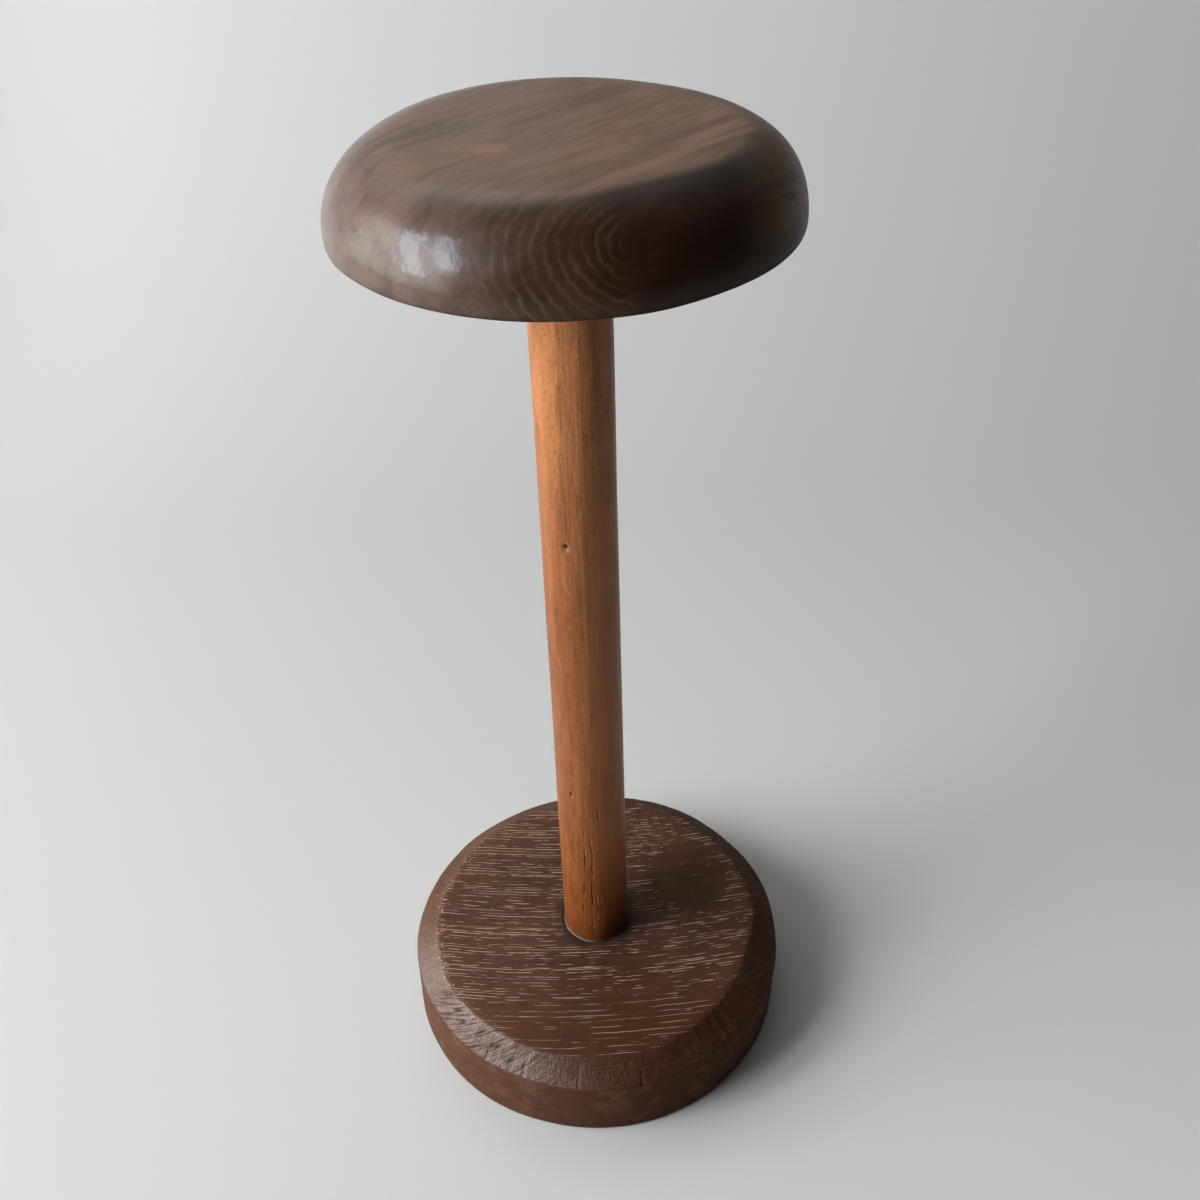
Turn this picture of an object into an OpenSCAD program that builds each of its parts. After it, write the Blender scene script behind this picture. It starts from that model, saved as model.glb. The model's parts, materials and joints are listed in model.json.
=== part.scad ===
// Wig stand: a bevelled round base, a plain round post and a mushroom-shaped head, all of wood.
// The post is glued into a blind socket at each end, and a wood screw pulls its foot down into the base.
// Millimetres, +Z up. The origin is the centre of the underside of the base.

/* [Base] */
// Diameter of the base disc
base_d = 150; // [120:1:200]
// Thickness of the base disc
base_t = 35; // [30:1:50]
// Width of the bevel, across the top face
bevel_w = 10.5; // [3:0.5:20]
// Height of the bevel, down the rim
bevel_h = 8; // [3:0.5:14]
// Size of the small chamfer on the lower edge
base_ease = 1; // [0.5:0.25:3]

/* [Post] */
// Diameter of the post where it leaves the base
post_foot_d = 26; // [20:0.5:36]
// Diameter of the post where it enters the head
post_top_d = 24.5; // [18:0.5:36]
// Length of post that shows between base and head
post_show = 300; // [150:1:400]
// Size of the lead-in chamfer on both ends of the post
post_lead = 1.5; // [0.5:0.25:3]

/* [Head] */
// Diameter of the head
head_d = 130; // [100:1:180]
// Thickness of the head
head_t = 24; // [20:0.5:40]
// Height of the upright band of the rim, below the rounded shoulder
rim_band = 0.5; // [0.25:0.25:14]
// Radius that eases the lower edge of the rim
rim_ease = 1.5; // [0.5:0.25:3]

/* [Joints] */
// Depth that the post's foot goes into the base
foot_depth = 22; // [12:0.5:24]
// Depth that the post's top goes into the head
top_depth = 14; // [8:0.5:16]
// Thickness of the glue film round the post's ends
glue_t = 0.2; // [0.1:0.05:0.5]
// Width of the glue bead round the foot of the post
bead_w = 0.9; // [0.6:0.1:2]
// Height of the glue bead round the foot of the post
bead_h = 0.8; // [0.4:0.1:2]

/* [Screw] */
// Length of the screw, head included
screw_len = 40; // [32:1:60]
// Diameter of the plain shank and of the thread's crest
screw_d = 5; // [4:0.25:6]
// Diameter of the thread's root
screw_root_d = 3.4; // [2.6:0.1:4]
// Diameter of the countersunk head
screw_head_d = 9.5; // [8:0.25:12]
// Thickness of the straight edge of the screw's head
screw_land = 0.4; // [0.2:0.1:1]
// Length of the plain shank, above the countersunk head
shank_len = 12; // [6:0.5:18]
// Length of the gimlet point
point_len = 5; // [3:0.5:8]
// Pitch of the thread
thread_pitch = 2.4; // [1.5:0.1:3]
// Width of the screwdriver slot
slot_w = 1.3; // [0.8:0.1:2]
// Depth of the screwdriver slot
slot_depth = 1.2; // [0.6:0.1:1.6]
// Depth of the screw's head below the underside of the base
screw_recess = 0.8; // [0.2:0.1:3]
// Clearance round the screw's head, shank and thread
screw_gap = 0.1; // [0.05:0.05:0.3]

/* [Hidden] */
$fn = 96;
// Sides of the thread's section, and its steps per turn
thread_sides = 12;
// How far the screw's stretches run into each other, and a cut runs past a face
run_in = 0.5;
// Blunt end of the gimlet point
point_tip_d = 0.4;

base_r = base_d / 2;
head_r = head_d / 2;
foot_r = post_foot_d / 2;
top_r = post_top_d / 2;

// Heights of the post's two ends and of the head's underside
foot_z = base_t - foot_depth;
head_z = base_t + post_show;
top_z = head_z + top_depth;

// The rounded shoulder takes all of the head's thickness that the rim leaves
shoulder_r = head_t - rim_ease - rim_band;
crown_r = head_r - shoulder_r;

// Heights along the screw, up from the flat face of its head
sink_h = (screw_head_d - screw_d) / 2;
shank_z = screw_land + sink_h;
thread_z = shank_z + shank_len;
point_z = screw_len - point_len;

// The thread is a round section, set off its axis and twisted
thread_len = point_z - thread_z + run_in;
thread_turns = thread_len / thread_pitch;
thread_off = (screw_d - screw_root_d) / 4;
thread_r = (screw_d + screw_root_d) / 4;
// The point's widest end stays inside the flats of the thread's root
point_d = 2 * (thread_r * cos(180 / thread_sides) - thread_off) - screw_gap;

oak = [0.30, 0.20, 0.155];
post_wood = [0.60, 0.36, 0.20];
dried_glue = [0.72, 0.64, 0.52];
steel = [0.62, 0.61, 0.58];

// Half outline of the base: flat underside, upright rim, bevel and flat top
module base_outline() {
    polygon([
        [0, 0],
        [base_r - base_ease, 0],
        [base_r, base_ease],
        [base_r, base_t - bevel_h],
        [base_r - bevel_w, base_t],
        [0, base_t]
    ]);
}

// Half outline of the post: straight ends with a lead-in, and a slight taper between base and head
module post_outline() {
    polygon([
        [0, foot_z],
        [foot_r - post_lead, foot_z],
        [foot_r, foot_z + post_lead],
        [foot_r, base_t],
        [top_r, head_z],
        [top_r, top_z - post_lead],
        [top_r - post_lead, top_z],
        [0, top_z]
    ]);
}

// Half outline of the head: eased lower edge, upright band, round shoulder and flat crown
module head_outline() {
    difference() {
        intersection() {
            square([head_r, head_t]);
            union() {
                square([crown_r, head_t]);
                square([head_r, head_t - shoulder_r]);
                translate([crown_r, head_t - shoulder_r]) circle(shoulder_r);
            }
        }
        translate([head_r - rim_ease, 0]) difference() {
            square([rim_ease + run_in, rim_ease]);
            translate([0, rim_ease]) circle(rim_ease);
        }
    }
}

// The post before its foot is bored for the screw
module post_blank() {
    rotate_extrude() post_outline();
}

// The blind sockets are wider and deeper than the post's ends by the glue film.
// past is how far each one runs out through the face it is cut into.
module foot_socket(past) {
    translate([0, 0, foot_z - glue_t]) cylinder(r = foot_r + glue_t, h = foot_depth + glue_t + past);
}

module head_socket(past) {
    translate([0, 0, head_z - past]) cylinder(r = top_r + glue_t, h = top_depth + glue_t + past);
}

// The hole that the screw goes into, with its countersink in the underside of the base
module screw_hole() {
    sink_d = screw_head_d + 2 * screw_gap;
    hole_d = screw_d + 2 * screw_gap;
    sink_z = screw_recess + screw_land;
    translate([0, 0, -run_in]) cylinder(d = sink_d, h = sink_z + run_in);
    translate([0, 0, sink_z]) cylinder(d1 = sink_d, d2 = hole_d, h = sink_h);
    translate([0, 0, sink_z]) cylinder(d = hole_d, h = screw_len - screw_land + screw_gap);
}

module base() {
    color(oak) difference() {
        rotate_extrude() base_outline();
        foot_socket(run_in);
        screw_hole();
    }
}

module post() {
    color(post_wood) difference() {
        post_blank();
        screw_hole();
    }
}

module head() {
    color(oak) difference() {
        translate([0, 0, head_z]) rotate_extrude() head_outline();
        head_socket(run_in);
    }
}

// Head and plain shank of the screw, with the slot across the head
module screw_body() {
    difference() {
        union() {
            cylinder(d = screw_head_d, h = screw_land);
            translate([0, 0, screw_land]) cylinder(d1 = screw_head_d, d2 = screw_d, h = sink_h);
            translate([0, 0, shank_z]) cylinder(d = screw_d, h = shank_len);
        }
        translate([-screw_head_d, -slot_w / 2, -run_in])
            cube([2 * screw_head_d, slot_w, slot_depth + run_in]);
    }
}

module screw_thread() {
    linear_extrude(
        height = thread_len,
        twist = -360 * thread_turns,
        slices = ceil(thread_turns * thread_sides),
        $fn = thread_sides
    )
        translate([thread_off, 0]) circle(thread_r);
}

// A slotted countersunk wood screw, driven up through the base into the foot of the post
module base_screw() {
    color(steel) translate([0, 0, screw_recess]) {
        screw_body();
        translate([0, 0, thread_z - run_in]) screw_thread();
        translate([0, 0, point_z - run_in])
            cylinder(d1 = point_d, d2 = point_tip_d, h = point_len + run_in);
    }
}

// Dried glue: a thin cup in the base's socket, and the bead that was squeezed out round the foot
module foot_glue() {
    color(dried_glue) difference() {
        union() {
            foot_socket(0);
            translate([0, 0, base_t]) cylinder(r1 = foot_r + bead_w, r2 = foot_r + glue_t, h = bead_h);
        }
        post_blank();
        screw_hole();
    }
}

// Dried glue: a thin cup in the head's socket
module head_glue() {
    color(dried_glue) difference() {
        head_socket(0);
        post_blank();
    }
}

base();
post();
head();
base_screw();
foot_glue();
head_glue();
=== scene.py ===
import json
import math

import bpy
import numpy as np
from mathutils import Matrix, Quaternion, Vector

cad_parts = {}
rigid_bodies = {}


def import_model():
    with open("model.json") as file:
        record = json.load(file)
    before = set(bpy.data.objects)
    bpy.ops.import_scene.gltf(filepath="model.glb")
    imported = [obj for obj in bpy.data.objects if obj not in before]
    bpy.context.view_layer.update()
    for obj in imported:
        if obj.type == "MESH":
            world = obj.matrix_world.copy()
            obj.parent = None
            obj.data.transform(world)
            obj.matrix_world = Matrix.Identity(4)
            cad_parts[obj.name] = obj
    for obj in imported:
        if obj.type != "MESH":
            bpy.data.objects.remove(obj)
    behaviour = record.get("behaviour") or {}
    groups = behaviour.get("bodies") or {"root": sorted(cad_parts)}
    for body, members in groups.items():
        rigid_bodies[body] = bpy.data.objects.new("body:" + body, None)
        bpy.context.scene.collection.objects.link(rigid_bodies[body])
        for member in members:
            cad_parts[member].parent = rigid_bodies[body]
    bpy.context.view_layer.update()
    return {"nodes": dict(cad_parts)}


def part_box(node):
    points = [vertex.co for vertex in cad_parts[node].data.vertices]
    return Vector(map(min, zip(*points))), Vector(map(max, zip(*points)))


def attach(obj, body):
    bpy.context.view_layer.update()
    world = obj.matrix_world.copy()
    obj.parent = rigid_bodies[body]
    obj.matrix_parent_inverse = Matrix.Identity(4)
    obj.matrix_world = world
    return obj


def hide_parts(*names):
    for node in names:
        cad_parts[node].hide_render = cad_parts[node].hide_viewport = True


for leftover in list(bpy.data.objects):  # start from an empty scene
    bpy.data.objects.remove(leftover)
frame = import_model()
mm = 0.001
scene = bpy.context.scene
scene.view_settings.view_transform = "Standard"
print("frame loaded, nodes:", ", ".join(sorted(frame["nodes"])))


# Camera, as the photograph was taken: a hand-held shot from above, a little off level
viewpoint = dict(
    back=335.5 * mm,  # from the post's axis, along -Y
    height=465.4 * mm,
    pitch=38.1,  # degrees down
    roll=-1.885,
    pan=1.007,
    focal=1267.2,  # in pixels of the square image
    imagePixels=1200,
    sensor=36.0,
    nearest=10 * mm,
)


def makeCamera(look):
    pitch, roll, pan = (math.radians(look[k]) for k in ("pitch", "roll", "pan"))
    level = Vector((math.cos(pan), -math.sin(pan), 0))
    ahead = Vector((math.sin(pan), math.cos(pan), 0))
    plumb = Vector((0, 0, 1))
    forward = math.cos(pitch) * ahead - math.sin(pitch) * plumb
    upright = math.sin(pitch) * ahead + math.cos(pitch) * plumb
    right = math.cos(roll) * level + math.sin(roll) * upright
    up = math.cos(roll) * upright - math.sin(roll) * level
    lens = bpy.data.cameras.new("viewCamera")
    lens.sensor_width = look["sensor"]
    lens.lens = look["focal"] / look["imagePixels"] * look["sensor"]
    lens.clip_start = look["nearest"]
    camera = bpy.data.objects.new("viewCamera", lens)
    scene.collection.objects.link(camera)
    turn = Matrix((right, up, -forward)).transposed().to_4x4()
    camera.matrix_world = Matrix.Translation((0, -look["back"], look["height"])) @ turn
    scene.camera = camera


makeCamera(viewpoint)
print("camera set")

sharpTurn = math.radians(48)  # a surface that turns by more than this keeps a crisp edge


# Shapes: every piece is a skin of rings round the post's axis.
# A station is one ring's distance from the axis and its height, at every step round.
def startStations(steps):
    turn = np.arange(steps) / steps
    zero = np.zeros(steps)

    def at(r, z):
        return np.stack([r + zero, z + zero])

    return turn, zero, at


def spun(profile, turn, shift=0.0):  # stations into rings of points
    r, z = profile[:, 0], profile[:, 1]
    angle = turn * 2 * math.pi
    return np.stack([r * np.cos(angle) + shift, r * np.sin(angle), z], 2)


def patchNoise(turn, along, cells, seed):  # smooth bumps from -1 to 1 that join up round the axis
    grid = np.random.default_rng(seed).uniform(-1, 1, (cells[0], cells[1] + 1))
    u = (turn % 1.0) * cells[0]
    v = np.clip(along, 0, 1) * cells[1]
    iu = np.floor(u).astype(int)
    iv = np.minimum(np.floor(v).astype(int), cells[1] - 1)
    fu = u - iu
    fv = v - iv
    fu = fu * fu * (3 - 2 * fu)
    fv = fv * fv * (3 - 2 * fv)
    nextU = (iu + 1) % cells[0]
    iu = iu % cells[0]
    lower = grid[iu, iv] * (1 - fu) + grid[nextU, iv] * fu
    upper = grid[iu, iv + 1] * (1 - fu) + grid[nextU, iv + 1] * fu
    return lower * (1 - fv) + upper * fv


def apart(degrees, where):  # signed angle from a bearing
    return (degrees - where + 180) % 360 - 180


def bumpsRound(degrees, bumps):  # each bump: where and half width in degrees, then its height
    total = np.zeros_like(degrees)
    for where, width, height in bumps:
        total += height * np.exp(-0.5 * (apart(degrees, where) / width) ** 2)
    return total


def rampUp(value, low, high):
    t = np.clip((value - low) / (high - low), 0, 1)
    return t * t * (3 - 2 * t)


def lineTo(p, q, count):  # stations from p up to, but not at, q
    return [p + (q - p) * s for s in np.linspace(0, 1, count, endpoint=False)]


def cornerTo(p, c, q, count):  # stations round the corner c, from p up to q
    shares = np.linspace(0, 1, count, endpoint=False)
    return [p * (1 - s) ** 2 + c * 2 * s * (1 - s) + q * s * s for s in shares]


def skin(name, rings, closed=False, startPole=None, endPole=None, marks=None, poleMark=0.0):
    stations, steps = rings.shape[:2]
    here = np.arange(steps)
    after = (here + 1) % steps
    faces = []
    for k in range(stations if closed else stations - 1):
        a = k * steps
        b = (k + 1) % stations * steps
        faces += np.stack([a + here, a + after, b + after, b + here], 1).tolist()
    points = rings.reshape(-1, 3).tolist()
    if startPole is not None:
        faces += [(len(points), int(b), int(a)) for a, b in zip(here, after)]
        points.append(startPole)
    if endPole is not None:
        first = (stations - 1) * steps
        faces += [(first + int(a), first + int(b), len(points)) for a, b in zip(here, after)]
        points.append(endPole)
    mesh = bpy.data.meshes.new(name)
    mesh.from_pydata(points, [], faces)
    mesh.polygons.foreach_set("use_smooth", [True] * len(mesh.polygons))
    mesh.set_sharp_from_angle(angle=sharpTurn)
    for mark, values in (marks or {}).items():  # painted by place, read by the material
        painted = np.full(len(points), poleMark, np.float32)
        painted[: stations * steps] = values.reshape(-1)
        mesh.attributes.new(mark, "FLOAT", "POINT").data.foreach_set("value", painted)
    piece = bpy.data.objects.new(name, mesh)
    scene.collection.objects.link(piece)
    return piece


def settle(piece, node, material):  # the piece stands for its node and carries its finish
    piece.data.materials.append(material)
    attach(piece, "root")
    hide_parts(node)
    print(piece.name + ":", len(piece.data.polygons), "faces")


# Base: a sawn disc with a rasped bevel
baseLook = dict(
    steps=1500,
    rings=dict(ease=4, wall=8, edge=5, bevel=22, brow=7, flatRim=4, flat=7),
    edgeEnd=0.12,  # shares of the rings from the wall to the flat, where the lower edge ends
    browStart=0.80,  # and where the upper one begins
    browFade=(0.7, 0.3, 0.1),  # its mark on the first rings of the flat
    bevelWide=10.5 * mm,
    bevelHigh=8.0 * mm,
    lowerEase=1.3 * mm,
    rimRound=0.8 * mm,  # how far the softening of the bevel's lower edge reaches
    browRound=1.5 * mm,  # and of its upper edge
    socketRadius=13.2 * mm,
    socketFloor=12.8 * mm,
    holeRadius=2.6 * mm,
    sinkRadius=4.85 * mm,
    sinkTop=3.45 * mm,
    sinkLow=1.2 * mm,
    lip=0.3 * mm,
    flatMargin=6.4 * mm,  # the flat has closer rings inside its edge and round the socket
    lipMargin=1.6 * mm,
    leanOut=-1.1 * mm,  # the saw wandered: the lower edge stands out to the left
    flatBumps=[(-150, 14, 1.6), (-118, 10, 0.7), (-71, 9, 1.0), (-45, 14, -1.1), (-22, 10, -1.5),
               (6, 10, 0.8), (60, 20, 0.9), (105, 14, -0.9), (140, 12, 0.8), (172, 8, 0.9)],
    flatUneven=0.3 * mm,
    flatChips=0.16 * mm,
    rimBumps=[(-28, 12, 0.7), (-112, 14, -0.5), (40, 25, 0.4), (120, 20, -0.4)],
    rimUneven=0.25 * mm,
    edgeUneven=0.35 * mm,  # in height, along the bevel's lower edge
    nicks=0.8 * mm,
    nickLimit=0.45,  # the higher, the fewer nicks
    nickBack=0.25,  # how much of them the back has
    strokes=0.10 * mm,  # soft ridges that the rasp left
    scratches=0.06 * mm,
    grooves=0.16 * mm,  # depth of the sharp cuts between them
    grooveSharp=0.30,
    strokeLeast=0.40,
    strokeBumps=[(-138, 22, 0.75), (-92, 8, 0.2), (-60, 18, 0.25), (30, 20, 0.15), (120, 30, 0.25)],
    slant=(-0.006, -0.030, 140),  # turns across the bevel: mean, swing and the bearing of the most slant
    hollows=0.22 * mm,
    wallWave=0.10 * mm,
    flatWave=0.07 * mm,
)


def makeBase(look, material):
    low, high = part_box("base")
    top = high.z
    radius = (high.x - low.x) / 2
    turn, zero, at = startStations(look["steps"])
    degrees = turn * 360

    rim = radius + bumpsRound(degrees, look["rimBumps"]) * mm
    rim += look["rimUneven"] * patchNoise(turn, zero, (24, 1), 3)
    flatEdge = radius - look["bevelWide"] + bumpsRound(degrees, look["flatBumps"]) * mm
    flatEdge += look["flatUneven"] * patchNoise(turn, zero, (34, 1), 4)
    flatEdge += look["flatChips"] * patchNoise(turn, zero, (150, 1), 6)
    nick = look["nicks"] * np.clip(patchNoise(turn, zero, (170, 1), 7) - look["nickLimit"], 0, 1)
    inFront = rampUp(-np.sin(turn * 2 * math.pi), -0.2, 0.5)
    nick *= look["nickBack"] + (1 - look["nickBack"]) * inFront
    wallTop = top - look["bevelHigh"] + look["edgeUneven"] * patchNoise(turn, zero, (18, 1), 5) - nick
    lowCorner = at(rim - 0.5 * nick, wallTop)
    browCorner = at(flatEdge, top)
    slope = browCorner - lowCorner
    slope = slope / np.linalg.norm(slope, axis=0)
    underEdge = at(rim - look["lowerEase"], 0)
    wallFoot = at(rim, look["lowerEase"])
    wallEnd = at(rim, wallTop - look["rimRound"])
    bevelFoot = lowCorner + slope * look["rimRound"]
    bevelEnd = browCorner - slope * look["browRound"]
    hole, sink, lip = look["holeRadius"], look["sinkRadius"], look["lip"]
    socketWide, socketFloor = look["socketRadius"], look["socketFloor"]
    flatRim = at(flatEdge - look["browRound"], top)
    flatStart = at(flatEdge - look["browRound"] - look["flatMargin"], top)
    flatEnd = at(socketWide + lip + look["lipMargin"], top)
    socketLip = at(socketWide + lip, top)

    bore = [at(hole, socketFloor), at(hole, look["sinkTop"]), at(sink, look["sinkLow"]), at(sink, lip)]
    count = look["rings"]
    under = [at(sink + lip, 0)] + cornerTo(underEdge, at(rim, 0), wallFoot, count["ease"])
    wall = lineTo(wallFoot, wallEnd, count["wall"])
    edge = cornerTo(wallEnd, lowCorner, bevelFoot, count["edge"])
    bevel = lineTo(bevelFoot, bevelEnd, count["bevel"])
    brow = cornerTo(bevelEnd, browCorner, flatRim, count["brow"])
    flat = lineTo(flatRim, flatStart, count["flatRim"])
    flat += lineTo(flatStart, flatEnd, count["flat"]) + [flatEnd]
    socket = [socketLip, at(socketWide, top - lip), at(socketWide, socketFloor)]

    # rasp strokes across the bevel, slanting with the hand that made them
    worked = edge + bevel + brow
    out = np.stack([slope[1], -slope[0]])
    mean, swing, bearing = look["slant"]
    slant = mean + swing * np.cos(np.radians(degrees + bearing))
    strong = look["strokeLeast"] + bumpsRound(degrees, look["strokeBumps"])
    strong = strong * (0.85 + 0.4 * patchNoise(turn, zero, (16, 1), 16))
    cuts = []
    for k, station in enumerate(worked):
        t = k / (len(worked) - 1)
        across = turn + slant * t
        stroke = look["strokes"] * patchNoise(across, zero + t, (330, 3), 11)
        stroke += look["scratches"] * patchNoise(across, zero + t, (560, 5), 12)
        groove = np.abs(patchNoise(across, zero + t, (320, 1), 17)) / look["grooveSharp"]
        groove = np.clip(1 - groove, 0, 1) ** 1.5 * np.clip(1.4 * strong - 0.65, 0, 1)
        stroke -= look["grooves"] * groove
        hollow = look["hollows"] * patchNoise(turn, zero + t, (40, 2), 13)
        fade = rampUp(t, 0, look["edgeEnd"]) * (1 - rampUp(t, look["browStart"], 1))
        worked[k] = station + out * (stroke * strong + hollow) * fade
        cuts.append(groove * fade)
    for k, station in enumerate(wall):
        t = k / (len(wall) - 1)
        station[0] += look["wallWave"] * patchNoise(turn, zero + t, (46, 4), 14) * rampUp(t, 0, 0.15)
    flatWide = flatRim[0] - socketLip[0]
    for station in flat:
        t = (flatRim[0] - station[0]) / flatWide
        fade = rampUp(t, 0, 0.2) * (1 - rampUp(t, 0.8, 1))
        station[1] += look["flatWave"] * patchNoise(turn, t, (9, 4), 15) * fade

    profile = np.array(bore + under + wall + worked + flat + socket)
    leaning = (profile[:, 0] / radius) ** 2 * np.clip(1 - profile[:, 1] / top, 0, 1)
    rings = spun(profile, turn, look["leanOut"] * leaning)

    # where the bevel, the wall, the bevel's upper edge and the cuts are, for the material
    first = len(bore + under + wall)
    last = first + len(worked)
    t = np.linspace(0, 1, len(worked))[:, None]
    onBevel = rampUp(t, 0, look["edgeEnd"])
    marks = {name: np.zeros(rings.shape[:2]) for name in ("bevelPart", "wallPart", "browPart", "cutPart")}
    marks["bevelPart"][first:last] = onBevel * (1 - rampUp(t, look["browStart"], 0.98))
    marks["wallPart"][len(bore):first] = 1
    marks["wallPart"][first:last] = 1 - onBevel
    marks["browPart"][first:last] = rampUp(t, 0.6, 0.85)
    marks["browPart"][last:last + len(look["browFade"])] = np.array(look["browFade"])[:, None]
    marks["cutPart"][first:last] = np.array(cuts)
    settle(skin("bevelledBase", rings, closed=True, marks=marks), "base", material)


# Post: a shaved dowel, dented, and cracked along the grain at its foot
postLook = dict(
    steps=360,
    ringGap=3.0 * mm,
    fineGap=0.9 * mm,  # where there is a dent, a scuff or a crack
    fineMargin=1.5 * mm,
    lead=1.5 * mm,
    boreRadius=2.6 * mm,
    boreTop=40.9 * mm,
    topRadius=12.25 * mm,
    ridges=[-171, -139, -109, -84, -53, -22, 8, 37, 66, 97, 128, 158],  # bearings between the shaved flats
    ridgeDrift=4.0,
    ridgeWear=14,  # rounds of smoothing
    flatCut=(0.20, 0.40),  # share of a true flat that the shave took off, at the foot and at the top
    wave=0.14 * mm,
    grooves=0.02 * mm,
    # bearing, height, half width, half height and depth of each dent
    dents=[(-110.9, 232.8, 0.95, 1.1, 0.85), (-125.4, 119.5, 0.55, 1.0, 0.6), (-134, 96, 0.5, 0.6, 0.25),
           (70, 205, 0.9, 1.1, 0.4), (150, 140, 0.7, 1.5, 0.3)],
    dentReach=1.6,  # half heights from its middle that have close rings
    dentBrim=(0.06, 1.9, 0.6),  # height, distance and half width of its raised rim, as shares of a dent
    # bearing and height at both ends of each scuff
    scuffs=[(-120.2, 219.5, -101.2, 211.4), (-138, 188, -131, 181), (-96, 262, -92, 256)],
    scuffWide=0.35,  # half width in mm
    # half width, depth, then bearings and heights along each crack, from the bottom up
    cracks=[
        (0.15, 0.42, [(-114.5, 40), (-110, 62), (-105.5, 78), (-106.5, 92), (-104.5, 106)]),
        (0.16, 0.5, [(-98, 37), (-96, 55), (-94, 72), (-93, 86), (-94.5, 101)]),
        (0.16, 0.3, [(-79, 103), (-79.5, 119)]),
        (0.11, 0.25, [(-88.5, 44), (-87, 58), (-88, 70)]),
        (0.18, 0.4, [(37, 37), (40, 62), (38, 88)]),
        (0.17, 0.35, [(149, 288), (151, 306), (150, 330)]),
    ],
    crackWander=(1.3, 0.7),  # degrees, slow and quick
    crackTaper=(3 * mm, 8 * mm),  # at its foot and at its tip
    lipLift=0.10 * mm,  # splinters raised beside the cracks
    lipWide=0.2,  # half width in mm
)


def ringHeights(look, low, high):  # close together only where something small is cut or drawn
    reach = look["dentReach"]
    spans = [(z - reach * tall, z + reach * tall) for _, z, _, tall, _ in look["dents"]]
    spans += [(end, start) for _, start, _, end in look["scuffs"]]
    spans += [(path[0][1], path[-1][1]) for _, _, path in look["cracks"]]
    margin = look["fineMargin"]
    spans = [(start * mm - margin, end * mm + margin) for start, end in spans]
    heights = [low]
    while heights[-1] < high - look["fineGap"] / 2:
        ahead = heights[-1] + look["fineGap"]
        fine = any(start <= ahead <= end for start, end in spans)
        starts = [start for start, _ in spans if start > heights[-1]]
        coarse = min([heights[-1] + look["ringGap"], high] + starts)  # stops where a fine stretch begins
        heights.append(min(ahead, high) if fine else max(coarse, ahead))
    heights[-1] = high
    return np.array(heights)


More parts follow.
